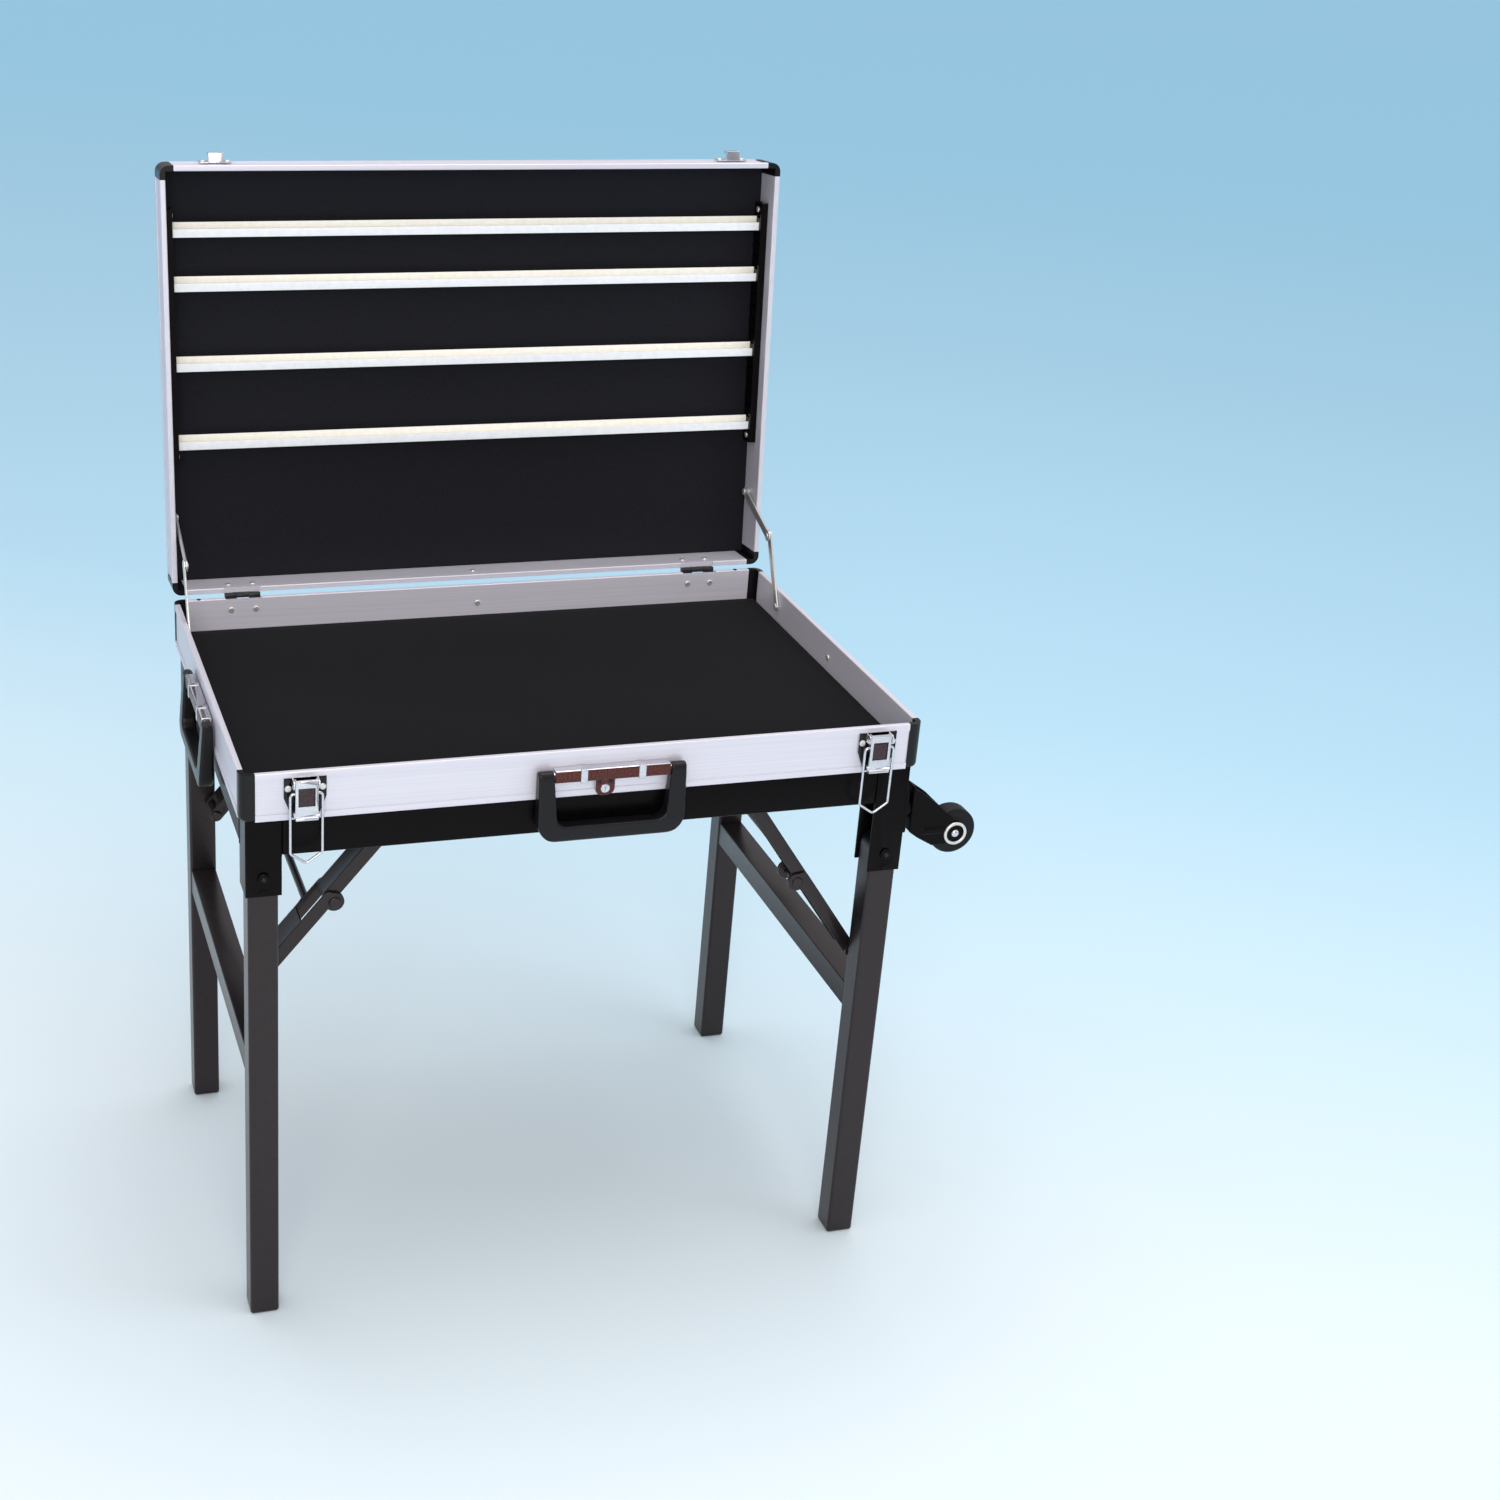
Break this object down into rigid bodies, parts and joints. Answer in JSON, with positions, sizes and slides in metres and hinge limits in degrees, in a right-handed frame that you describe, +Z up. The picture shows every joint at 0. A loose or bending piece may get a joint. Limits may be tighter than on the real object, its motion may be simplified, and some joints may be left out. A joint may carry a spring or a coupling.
{
  "type": "folding jewelry display case on legs",
  "caption": "Aluminium-framed jewelry display case with a felt-lined tray and slotted lid, on folding black legs with castors.",
  "frame": {"origin": "on the floor, in the middle of the four legs", "axes": "+X to the right of someone facing the open case, +Y towards the hinges, +Z up"},
  "size_m": [0.7977, 0.5723, 1.1112],
  "materials": {
    "aluminium_profile": "satin anodised",
    "black_felt": "dense short-pile felt",
    "panel_board": "thin fibreboard, dark face",
    "black_steel": "gloss black paint",
    "chrome": "polished",
    "nickelled_steel": "nickel plated",
    "cream_bar": "gloss cream paint",
    "black_plastic": "moulded, fine satin",
    "castor_rubber": "matt"
  },
  "bodies": {
    "case": {"tray_front_wall": "aluminium_profile", "tray_rear_wall": "aluminium_profile", "tray_left_wall": "aluminium_profile", "tray_right_wall": "aluminium_profile", "tray_corner_posts": "black_plastic", "tray_base_board": "panel_board", "tray_felt_pad": "black_felt", "tray_rivets": "nickelled_steel", "hinge_leaves_tray": "nickelled_steel", "latch_bases": "chrome", "handle_bases": "chrome", "lock_body": "chrome", "underframe": "black_steel", "leg_brackets": "black_steel", "leg_bolts": "nickelled_steel", "castor_plates": "black_steel"},
    "lid": {"lid_front_wall": "aluminium_profile", "lid_rear_wall": "aluminium_profile", "lid_left_wall": "aluminium_profile", "lid_right_wall": "aluminium_profile", "lid_corner_posts": "black_plastic", "lid_back_panel": "panel_board", "lid_felt_lining": "black_felt", "card_uprights": "aluminium_profile", "card_bar_1": "cream_bar", "card_bar_2": "cream_bar", "card_bar_3": "cream_bar", "card_bar_4": "cream_bar", "latch_catches": "chrome", "hinge_leaves_lid": "nickelled_steel", "lid_rivets": "nickelled_steel"},
    "stay_lower_left": {"lid_stay_lower_left": "nickelled_steel"},
    "stay_upper_left": {"lid_stay_upper_left": "nickelled_steel"},
    "lever_left": {"latch_lever_left": "chrome"},
    "bail_left": {"latch_bail_left": "chrome"},
    "stay_lower_right": {"lid_stay_lower_right": "nickelled_steel"},
    "stay_upper_right": {"lid_stay_upper_right": "nickelled_steel"},
    "lever_right": {"latch_lever_right": "chrome"},
    "bail_right": {"latch_bail_right": "chrome"},
    "front_handle": {"front_handle_grip": "black_plastic"},
    "side_handle": {"side_handle_grip": "black_plastic"},
    "lock_cylinder": {"lock_plug": "chrome"},
    "leg_frame_left": {"leg_front_left": "black_steel", "leg_rear_left": "black_steel", "feet_left": "black_plastic", "crossbar_left": "black_steel"},
    "brace_upper_left": {"brace_upper_left": "black_steel"},
    "brace_lower_left": {"brace_lower_left": "black_steel"},
    "leg_frame_right": {"leg_front_right": "black_steel", "leg_rear_right": "black_steel", "feet_right": "black_plastic", "crossbar_right": "black_steel"},
    "brace_upper_right": {"brace_upper_right": "black_steel"},
    "brace_lower_right": {"brace_lower_right": "black_steel"},
    "castor_swivel_front": {"castor_fork_front": "black_steel"},
    "castor_wheel_front": {"castor_tyre_front": "castor_rubber", "castor_hub_front": "black_plastic"},
    "castor_swivel_rear": {"castor_fork_rear": "black_steel"},
    "castor_wheel_rear": {"castor_tyre_rear": "castor_rubber", "castor_hub_rear": "black_plastic"}
  },
  "joints": [
    {"name": "lid_hinge", "type": "hinge", "parent": "case", "child": "lid", "pos_m": [0, 0.238, 0.6303], "axis": [-1, 0, 0], "range_deg": [-94.5, 0]},
    {"name": "stay_lower_left_turn", "type": "hinge", "parent": "case", "child": "stay_lower_left", "pos_m": [-0.342, 0.154, 0.6107], "axis": [-1, 0, 0], "range_deg": [-104.35, 0]},
    {"name": "stay_upper_left_turn", "type": "hinge", "parent": "lid", "child": "stay_upper_left", "pos_m": [-0.342, 0.27488, 0.71266], "axis": [-1, 0, 0], "range_deg": [0, 92.99]},
    {"name": "lever_left_lift", "type": "hinge", "parent": "case", "child": "lever_left", "pos_m": [-0.2875, -0.243, 0.62], "axis": [1, 0, 0], "range_deg": [-150, 0]},
    {"name": "bail_left_swing", "type": "hinge", "parent": "lever_left", "child": "bail_left", "pos_m": [-0.2875, -0.243, 0.611], "axis": [-1, 0, 0], "range_deg": [0, 180]},
    {"name": "stay_lower_right_turn", "type": "hinge", "parent": "case", "child": "stay_lower_right", "pos_m": [0.342, 0.154, 0.6107], "axis": [-1, 0, 0], "range_deg": [-104.35, 0]},
    {"name": "stay_upper_right_turn", "type": "hinge", "parent": "lid", "child": "stay_upper_right", "pos_m": [0.342, 0.27488, 0.71266], "axis": [-1, 0, 0], "range_deg": [0, 92.99]},
    {"name": "lever_right_lift", "type": "hinge", "parent": "case", "child": "lever_right", "pos_m": [0.2995, -0.243, 0.62], "axis": [1, 0, 0], "range_deg": [-150, 0]},
    {"name": "bail_right_swing", "type": "hinge", "parent": "lever_right", "child": "bail_right", "pos_m": [0.2995, -0.243, 0.611], "axis": [-1, 0, 0], "range_deg": [0, 180]},
    {"name": "front_handle_lift", "type": "hinge", "parent": "case", "child": "front_handle", "pos_m": [0.016, -0.2413, 0.607], "axis": [-1, 0, 0], "range_deg": [0, 90]},
    {"name": "side_handle_lift", "type": "hinge", "parent": "case", "child": "side_handle", "pos_m": [-0.3563, 0, 0.607], "axis": [0, 1, 0], "range_deg": [0, 90]},
    {"name": "lock_turn", "type": "hinge", "parent": "case", "child": "lock_cylinder", "pos_m": [0.01, -0.238, 0.589], "axis": [0, 1, 0], "range_deg": [0, 90]},
    {"name": "leg_frame_left_fold", "type": "hinge", "parent": "case", "child": "leg_frame_left", "pos_m": [-0.3265, 0, 0.517], "axis": [0, -1, 0], "range_deg": [0, 90]},
    {"name": "brace_upper_left_turn", "type": "hinge", "parent": "case", "child": "brace_upper_left", "pos_m": [-0.1775, 0, 0.56], "axis": [0, -1, 0], "range_deg": [-48.9, 0]},
    {"name": "brace_lower_left_turn", "type": "hinge", "parent": "leg_frame_left", "child": "brace_lower_left", "pos_m": [-0.316, 0, 0.3952], "axis": [0, -1, 0], "range_deg": [0, 30.16]},
    {"name": "leg_frame_right_fold", "type": "hinge", "parent": "case", "child": "leg_frame_right", "pos_m": [0.3265, 0, 0.4805], "axis": [0, 1, 0], "range_deg": [0, 90]},
    {"name": "brace_upper_right_turn", "type": "hinge", "parent": "case", "child": "brace_upper_right", "pos_m": [0.174, 0, 0.555], "axis": [0, 1, 0], "range_deg": [-37.01, 0]},
    {"name": "brace_lower_right_turn", "type": "hinge", "parent": "leg_frame_right", "child": "brace_lower_right", "pos_m": [0.316, 0, 0.3476], "axis": [0, 1, 0], "range_deg": [0, 31.47]},
    {"name": "castor_swivel_front_turn", "type": "hinge", "parent": "case", "child": "castor_swivel_front", "pos_m": [0.3533, -0.2115, 0.527], "axis": [1, 0, 0], "continuous": true},
    {"name": "castor_wheel_front_spin", "type": "hinge", "parent": "castor_swivel_front", "child": "castor_wheel_front", "pos_m": [0.406, -0.2115, 0.4955], "axis": [0, 1, 0], "continuous": true},
    {"name": "castor_swivel_rear_turn", "type": "hinge", "parent": "case", "child": "castor_swivel_rear", "pos_m": [0.3533, 0.2115, 0.527], "axis": [1, 0, 0], "continuous": true},
    {"name": "castor_wheel_rear_spin", "type": "hinge", "parent": "castor_swivel_rear", "child": "castor_wheel_rear", "pos_m": [0.406, 0.2115, 0.4955], "axis": [0, 1, 0], "continuous": true}
  ],
  "couplings": [
    {"joint": "stay_lower_left_turn", "follows": "lid_hinge", "ratio": 1.1041},
    {"joint": "stay_upper_left_turn", "follows": "lid_hinge", "ratio": -0.98388},
    {"joint": "stay_lower_right_turn", "follows": "lid_hinge", "ratio": 1.1041},
    {"joint": "stay_upper_right_turn", "follows": "lid_hinge", "ratio": -0.98388},
    {"joint": "brace_upper_left_turn", "follows": "leg_frame_left_fold", "ratio": -0.54323},
    {"joint": "brace_lower_left_turn", "follows": "leg_frame_left_fold", "ratio": 0.33496},
    {"joint": "brace_upper_right_turn", "follows": "leg_frame_right_fold", "ratio": -0.41106},
    {"joint": "brace_lower_right_turn", "follows": "leg_frame_right_fold", "ratio": 0.34957}
  ]
}
